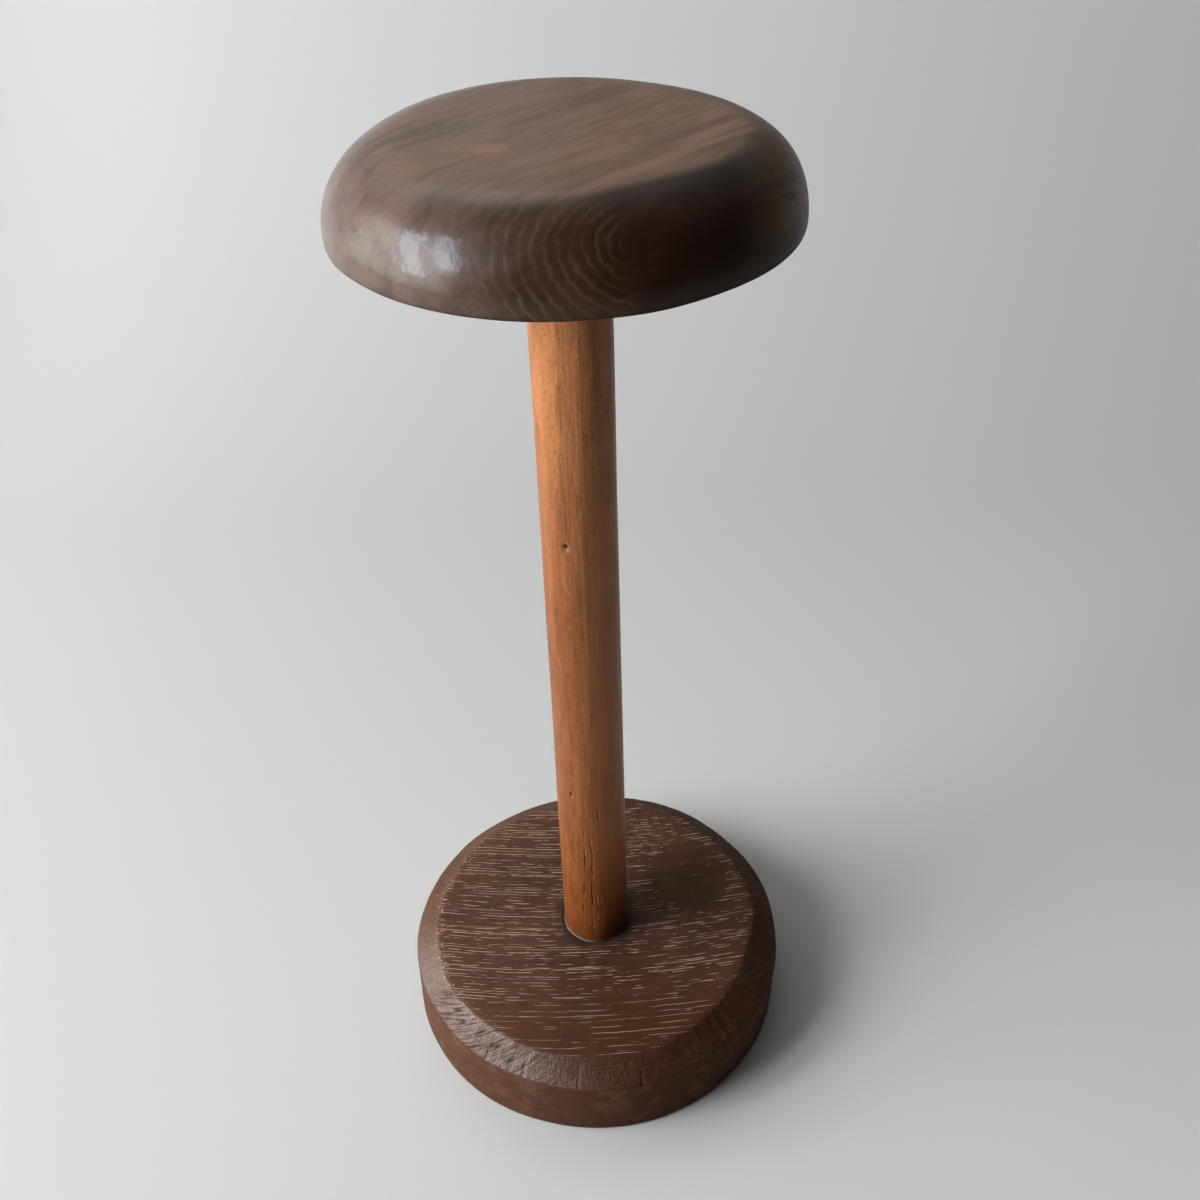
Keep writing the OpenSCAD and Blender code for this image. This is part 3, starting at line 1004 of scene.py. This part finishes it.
def makePostWood(look):
    material, shader = startMaterial("shavedPostWood")
    spot = inMillimetres()
    x, y, z = splitXyz(spot)
    grain = joinXyz(z, x, y)  # fibres run up the post
    hand = place(handling, Vector=spot, Patch=38.0)
    fibres = place(fibreStreaks, Vector=grain, Length=46.0, Width=5.0)
    moved = vectorCalc("ADD", grain, (60.0, 31.0, 17.0))
    clouds = place(fibreStreaks, Vector=moved, Length=32.0, Width=5.0)
    flecks = place(openPores, Vector=grain, Length=6.0, Spacing=0.9, Width=0.13, Share=0.45, Wander=0.8,
                   Flatness=0.5)["Mask"]
    level = (hand["Blotch"] - 0.5) * 60.0 + z
    # painted light: the side away from the window is lighter halfway up, and painted shade darkens that side
    # at both ends
    paintedLightRight = ramp(z, 55.0, 100.0) * ramp(z, 270.0, 215.0) * ramp(x, -6.0, 7.0)
    paintedShadeEnds = calc("MAXIMUM", ramp(z, 235.0, 290.0), ramp(z, 70.0, 45.0)) * ramp(x, 1.0, 8.0)
    crack = painted("crackPart")
    wood = layered(
        mix(ramp(level, *look["footFade"]), look["foot"], look["mid"]), look,
        (ramp(level, *look["topFade"]), "top"),
        (ramp(fibres["Broad"], 0.50, 0.72) * 0.30, "top"),
        (ramp(clouds["Broad"], 0.50, 0.70) * 0.42, "deep"),
        (ramp(clouds["Fine"], 0.50, 0.72) * 0.36, "deep"),
        (ramp(hand["Mottle"], 0.48, 0.70) * 0.34, "deep"),
        (flecks * ramp(hand["Smear"], 0.35, 0.6, 0.12, 0.45), "deep"),
        (ramp(z, 52.0, 36.0) * 0.45, "deep"),
        # painted light and painted shade on the side away from the window
        (paintedLightRight * 0.40, "top"),
        (paintedShadeEnds * 0.35, "deep"),
        (painted("chipPart") * 0.7, "chip"),
        (ramp(crack, 0.12, 0.6) * 0.9, "crack"),
    )
    lumps = relief(hand["Mottle"], 0.00012, relief(fibres["Fine"], 0.00014))
    feedAll(shader, {
        "Base Color": wood,
        "Roughness": hand["Smear"] * 0.24 + crack * 0.3 + 0.30,
        "Specular IOR Level": 0.20,
        "Normal": relief(1.0 - flecks, 0.00006, lumps),
    })
    return material


# Head: dark waxed wood, its rings showing as pale arcs on the front of the shoulder
headFinish = dict(
    dark=colour(39, 21, 11),
    mid=colour(78, 51, 36),
    shade=colour(24, 11, 4),  # painted shade on the side away from the window
    paintedLightTint=colour(128, 99, 78),  # painted light on the crown, and a painted sheen on the right edge
    litShoulderTint=colour(105, 83, 70),  # painted light on the window's side of the shoulder
    ringLine=colour(110, 85, 70),
    worn=colour(146, 106, 82),
    wornSpot=(-18.4, -15.4, 359.0),
    arcMiddle=(-72.9, 60.1, 351.5),  # bearing, radius and height
    arcStretch=1.35,  # the arcs are this much flatter than circles
    arcSpacing=3.0,
    arcReach=(46, 32),
    grainTurn=-42.0,
    patch=30.0,  # mm, the size of the blotches that hands left
)


def makeHeadWood(look):
    material, shader = startMaterial("waxedHeadWood")
    spot = inMillimetres()
    grain = inMillimetres(look["grainTurn"])
    x, y, z = splitXyz(spot)
    hand = place(handling, Vector=spot, Patch=look["patch"])
    fibres = place(fibreStreaks, Vector=grain, Length=48.0, Width=4.5)
    moved = vectorCalc("ADD", grain, (31.0, 17.0, 9.0))
    clouds = place(fibreStreaks, Vector=moved, Length=34.0, Width=8.0)
    onCrown = painted("crownPart")
    onSide = 1.0 - onCrown
    tone = hand["Blotch"] * 0.35 + clouds["Broad"] * 0.7
    uneven = ramp(clouds["Broad"], 0.35, 0.62, 0.66, 0.98)
    # painted light on the window's side of the shoulder
    paintedLightShoulder = ramp(y * -0.25 + x, 12.0, -34.0) * ramp(z, 338.0, 358.0, 0.80, 0.95)
    # painted shade on the front-right, away from the window
    paintedShadeFrontRight = onSide * ramp(x, 5.0, 32.0) * ramp(y, -8.0, -30.0)
    # painted sheen on the right edge of the shoulder
    paintedSheenRight = onSide * ramp(x, 38.0, 60.0) * ramp(z, 337.0, 347.0)

    # rings: arcs about one place, measured round the rim and over the shoulder
    bearing, radius, height = look["arcMiddle"]
    sideways = (calc("ARCTAN2", y, x) - math.radians(bearing)) * radius
    over = (z - height - (squareRoot(x * x + y * y) - radius)) * (0.7 * look["arcStretch"])
    reach = squareRoot(sideways * sideways + over * over)
    rings = place(yearRings, Vector=spot, Depth=reach, Spacing=look["arcSpacing"], Bend=2.6, Wobble=1.0)
    near = ramp(reach, *look["arcReach"]) * ramp(reach, 2.0, 9.0, 0.3, 1.0)
    leftOf = ramp(sideways, 0.0, -9.0, 0.04, 1.0) * ramp(over, 16.0, 5.0, 0.4, 1.0)
    patchy = ramp(hand["Smear"], 0.36, 0.62, 0.30, 1.0)
    climbing = vectorCalc("ADD", grain, joinXyz(0.0, z, 0.0))
    lines = place(poreRows, Vector=climbing, Length=6.0, Spacing=1.1, Width=0.11, Share=0.55, Wander=3.0)
    gap = vectorCalc("DISTANCE", spot, look["wornSpot"], output=1)
    gap = (hand["Smear"] - 0.5) * 10.0 + gap
    wood = layered(
        mix(ramp(tone, 0.28, 0.82), look["dark"], look["mid"]), look,
        (paintedLightShoulder * uneven, "litShoulderTint"),
        # painted light: the crown is paler
        (onCrown * uneven, "paintedLightTint"),
        (paintedShadeFrontRight * 0.60, "shade"),
        (paintedSheenRight * 0.90, "paintedLightTint"),
        (ramp(fibres["Broad"], 0.46, 0.70, 0.0, 0.40), "dark"),
        (rings["Line"] * patchy * onSide * near * leftOf * 0.38, "ringLine"),
        (ramp(fibres["Fine"], 0.50, 0.75) * 0.18, "dark"),
        (lines["Mask"] * ramp(clouds["Fine"], 0.35, 0.6, 0.15, 0.5), "dark"),
        (ramp(gap, 8.0, 1.0) * 0.85, "worn"),
    )

    under = ramp(z, 337.0, 335.4)  # the underside is bare
    waxed = ramp(hand["Smear"], 0.30, 0.55, 0.36, 0.52) * ramp(x, 14.0, -22.0, 0.14, 1.0) * (1.0 - under)
    ripples = noiseAt(scaled(spot, 1 / look["patch"]), 4.3, 3.0, 0.6)  # in the wax
    feedAll(shader, {
        "Base Color": wood,
        "Roughness": hand["Smear"] * 0.14 + fibres["Fine"] * 0.08 + under * 0.45 + 0.32,
        "Specular IOR Level": 0.20,
        "Coat Weight": waxed,
        "Coat Roughness": 0.15,
        "Coat Normal": relief(ripples, 0.00016),
        "Normal": relief(hand["Smear"], 0.00008, relief(fibres["Fine"], 0.00003)),
    })
    return material


glueFinish = dict(
    pale=colour(102, 88, 76),
    beadDark=colour(44, 32, 25),
    paleSide=(-0.75, -0.66),  # the way that the pale part of the bead faces
)


def makeGlueFinish(look):
    material, shader = startMaterial("driedGlue")
    spot = inMillimetres()
    x, y, _ = splitXyz(spot)
    hand = place(handling, Vector=spot, Patch=9.0)
    facing = x * look["paleSide"][0] + y * look["paleSide"][1]
    # the bead is pale on its front-left side and dark elsewhere
    paleSideMask = ramp(facing, 6.0, 12.5) * ramp(hand["Smear"], 0.30, 0.52, 0.3, 1.0)
    feedAll(shader, {
        "Base Color": mix(paleSideMask, look["beadDark"], look["pale"]),
        "Roughness": hand["Blotch"] * 0.3 + 0.35,
        "Normal": relief(hand["Mottle"], 0.0002),
    })
    return material


steelFinish = dict(
    bright=colour(158, 154, 146),
    rust=colour(92, 58, 38),
)


def makeSteel(look):
    material, shader = startMaterial("dullScrewSteel")
    spot = inMillimetres()
    hand = place(handling, Vector=spot, Patch=5.0)
    brushed = place(fibreStreaks, Vector=spot, Length=8.0, Width=0.25)
    rust = ramp(hand["Blotch"], 0.52, 0.66)
    feedAll(shader, {
        "Base Color": mix(rust, look["bright"], look["rust"]),
        "Metallic": 1.0 - rust,
        "Roughness": rust * 0.4 + 0.32,
        "Normal": relief(brushed["Fine"], 0.00005),
    })
    return material


makeBase(baseLook, makeOak(oakLook))
makePost(postLook, makePostWood(postFinish))
makeHead(headLook, makeHeadWood(headFinish))
glue = makeGlueFinish(glueFinish)
makeGlue(glueLook, glue)
for nodeName, finish in (("head_glue", glue), ("base_screw", makeSteel(steelFinish))):
    frame["nodes"][nodeName].material_slots[0].material = finish
print("pieces dressed")


# Stage: a pale floor that sweeps up behind, and a tall two-paned window light on the left
stageLook = dict(
    floorHalf=4.5,
    floorDrop=0.2 * mm,
    wallBack=0.75,  # beyond the post's axis
    coveRadius=0.40,
    coveSteps=16,
    wallHigh=0.9,
    pale=colour(212, 212, 209),
    upper=colour(154, 152, 149),  # the sweep darkens above the object
    upperRise=(300, 560),  # between these heights in mm
    beyond=colour(204, 204, 202),  # what the camera, and only the camera, sees past the floor
    fadeLeft=(-300, -600),  # where the floor fades into it, in mm
    fadeRight=(520, 780),
    fadeFront=(-420, -900),
    paneTurn=71.0,  # degrees from -Y towards -X
    paneAway=1.35,
    paneSize=(0.225, 1.12),
    paneLean=24.0,  # so that they stand upright in the wax
    paneMiddles=[(-0.14, 0.98), (0.15, 1.28)],  # sideways, and height above the floor
    paneGlow=12.0,
    paneTint=(0.80, 0.90, 1.06),
    curtainTint=(1.0, 0.975, 0.93),
    curtainTurn=84.0,
    curtainAway=1.75,
    # width, height and glow of each fold, from the middle of the curtain outwards
    curtainFolds=[(1.0, 0.8, 1.8), (1.4, 1.1, 1.9), (1.8, 1.4, 1.7), (2.2, 1.7, 1.4), (2.6, 2.0, 0.95)],
    dullFolds=2,  # the innermost folds don't mirror in the wax
    curtainMiddle=0.85,
    curtainClear=0.03,  # between the curtain's hem and the floor
    curtainStep=0.04,
    leftWall=0.37,
    wallSide=(-0.8, 0.6, 0.0),  # the way to that wall
    roomDark=0.03,
    ceiling=1.8,
)


def makeFloor(look):
    half, radius, back = look["floorHalf"], look["coveRadius"], look["wallBack"]
    profile = [(-half, 0.0), (back - radius, 0.0)]
    for k in range(look["coveSteps"]):
        angle = (k + 1) / look["coveSteps"] * math.pi / 2
        profile.append((back - radius + radius * math.sin(angle), radius * (1 - math.cos(angle))))
    profile.append((back, look["wallHigh"]))
    points = [(x, y, z) for y, z in profile for x in (-half, half)]
    faces = [(2 * k, 2 * k + 1, 2 * k + 3, 2 * k + 2) for k in range(len(profile) - 1)]
    mesh = bpy.data.meshes.new("paleSweep")
    mesh.from_pydata(points, [], faces)
    mesh.polygons.foreach_set("use_smooth", [True] * len(faces))
    floor = bpy.data.objects.new("paleSweep", mesh)
    scene.collection.objects.link(floor)
    floor.location.z = -look["floorDrop"]
    material, shader = startMaterial("paleSweepPaint")
    spot = inMillimetres()
    x, y, z = splitXyz(spot)
    rise = noiseAt(spot, 0.004, 3.0, 0.5) * 60.0 + z
    paint = mix(ramp(rise, *look["upperRise"]), look["pale"], look["upper"])
    feedAll(shader, {"Base Color": paint, "Roughness": 0.9, "Specular IOR Level": 0.0})
    seen = outOf(addNode("ShaderNodeLightPath"), "Is Camera Ray")
    aside = calc("MAXIMUM", ramp(x, *look["fadeLeft"]), ramp(x, *look["fadeRight"]))
    away = calc("MAXIMUM", aside, ramp(y, *look["fadeFront"]))
    beyond = addNode("ShaderNodeEmission", {"Color": look["beyond"], "Strength": 1.0})
    blend = addNode("ShaderNodeMixShader", {0: seen * away, 1: outOf(shader), 2: outOf(beyond)})
    feedAll(bench["tree"].nodes["Material Output"], {"Surface": outOf(blend)})
    mesh.materials.append(material)


def makeLamp(name, turn, away, aside, middle, size, glow, tint, lean=0.0):
    turn = math.radians(turn)
    outward = Vector((-math.sin(turn), -math.cos(turn), 0))
    sideways = Vector((-outward.y, outward.x, 0))
    lamp = bpy.data.lights.new(name, "AREA")
    lamp.shape = "RECTANGLE"
    lamp.size, lamp.size_y = size
    lamp.energy = glow * math.pi * size[0] * size[1]
    lamp.color = tint
    holder = bpy.data.objects.new(name, lamp)
    scene.collection.objects.link(holder)
    holder.location = outward * away + sideways * aside
    holder.location.z = middle
    leaning = Quaternion((0, 0, 1), math.radians(lean))
    holder.rotation_euler = ((-outward).to_track_quat("-Z", "Y") @ leaning).to_euler()
    holder.visible_camera = False
    return holder


def makeLight(look):  # a net curtain, and two clear panes that show as highlights on the wax
    for k, (wide, high, glow) in enumerate(look["curtainFolds"]):
        middle = max(look["curtainMiddle"], high / 2 + look["curtainClear"])
        away = look["curtainAway"] + k * look["curtainStep"]
        fold = makeLamp("netCurtain" + str(k), look["curtainTurn"], away, 0, middle, (wide, high), glow,
                        look["curtainTint"])
        fold.visible_glossy = k >= look["dullFolds"]
    for k, (aside, middle) in enumerate(look["paneMiddles"]):
        makeLamp("windowPane" + str(k), look["paneTurn"], look["paneAway"], aside, middle, look["paneSize"],
                 look["paneGlow"], look["paneTint"], look["paneLean"])


def makeRoom(look):  # a pale wall on the window's side, a dim room in front and to the right
    world = bpy.data.worlds.new("softRoom")
    scene.world = world
    world.use_nodes = True
    bench["tree"] = world.node_tree
    world.node_tree.nodes.clear()
    sky = outOf(addNode("ShaderNodeTexCoord"), "Generated")
    towards = vectorCalc("DOT_PRODUCT", sky, look["wallSide"], output=1)
    dark, wall, ceiling = ((look[k],) * 3 + (1,) for k in ("roomDark", "leftWall", "ceiling"))
    tint = mix(ramp(towards, -0.5, 0.8), dark, wall)
    skyX, skyY, skyZ = splitXyz(sky)
    overhead = ramp(skyZ, 0.45, 0.80) * ramp(skyY, 0.25, 0.60) * ramp(skyX, 0.90, -0.30)
    tint = mix(overhead, tint, ceiling)
    seen = outOf(addNode("ShaderNodeLightPath"), "Is Camera Ray")
    glow = addNode("ShaderNodeBackground", {"Color": mix(seen, tint, look["beyond"]), "Strength": 1.0})
    addNode("ShaderNodeOutputWorld", {"Surface": outOf(glow)})


makeFloor(stageLook)
makeLight(stageLook)
makeRoom(stageLook)
print("stage and light set")
